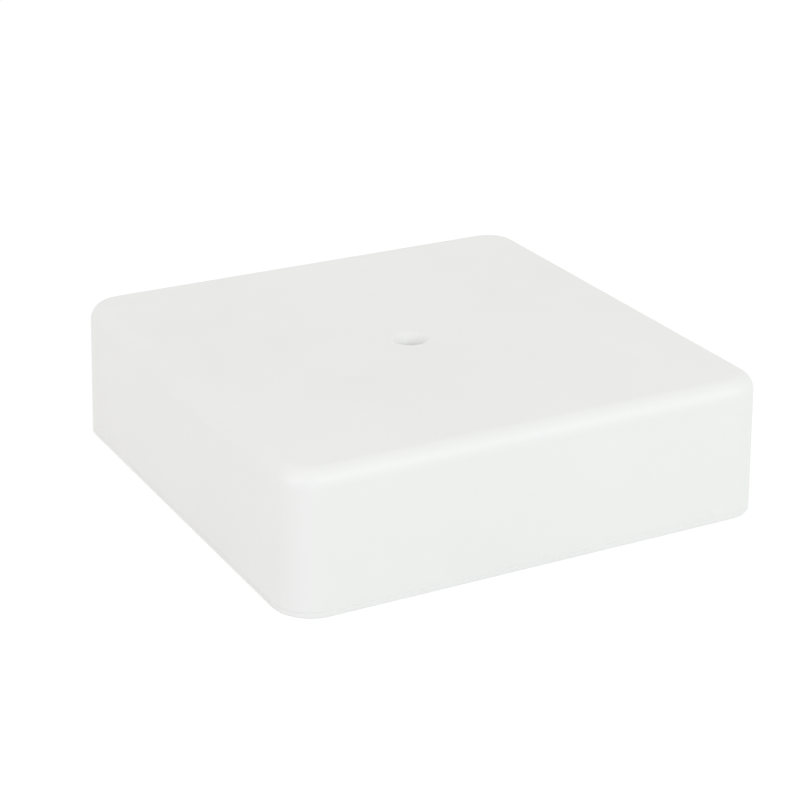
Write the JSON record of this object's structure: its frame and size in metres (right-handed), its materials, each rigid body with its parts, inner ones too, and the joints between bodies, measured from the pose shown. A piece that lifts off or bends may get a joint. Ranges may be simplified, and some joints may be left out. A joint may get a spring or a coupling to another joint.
{
  "type": "trunking junction box",
  "caption": "Square white surface box that joins mini-trunking runs: a deep drafted cover with a countersunk screw hole, over a flat base with brass pillar terminals.",
  "frame": {"origin": "middle of the base's underside, which lies on the wall", "axes": "+Z out of the wall towards the cover's top, X and Y along the sides of the square"},
  "size_m": [0.08, 0.08, 0.022],
  "materials": {
    "moulded_plastic": "satin",
    "brass": "machined",
    "plated_steel": "zinc plated"
  },
  "bodies": {
    "base": {"base": "moulded_plastic", "terminal_line": "brass", "terminal_neutral": "brass", "terminal_earth": "brass", "terminal_switch": "brass"},
    "cover": {"cover": "moulded_plastic"},
    "clamp_screw_line": {"clamp_screw_line": "plated_steel"},
    "clamp_screw_neutral": {"clamp_screw_neutral": "plated_steel"},
    "clamp_screw_earth": {"clamp_screw_earth": "plated_steel"},
    "clamp_screw_switch": {"clamp_screw_switch": "plated_steel"}
  },
  "joints": [
    {"name": "cover_lift", "type": "slide", "parent": "base", "child": "cover", "axis": [0, 0, 1], "range_m": [0, 0.04]},
    {"name": "clamp_line", "type": "slide", "parent": "base", "child": "clamp_screw_line", "axis": [0, 0, -1], "range_m": [0, 0.003]},
    {"name": "clamp_neutral", "type": "slide", "parent": "base", "child": "clamp_screw_neutral", "axis": [0, 0, -1], "range_m": [0, 0.003]},
    {"name": "clamp_earth", "type": "slide", "parent": "base", "child": "clamp_screw_earth", "axis": [0, 0, -1], "range_m": [0, 0.003]},
    {"name": "clamp_switch", "type": "slide", "parent": "base", "child": "clamp_screw_switch", "axis": [0, 0, -1], "range_m": [0, 0.003]}
  ]
}
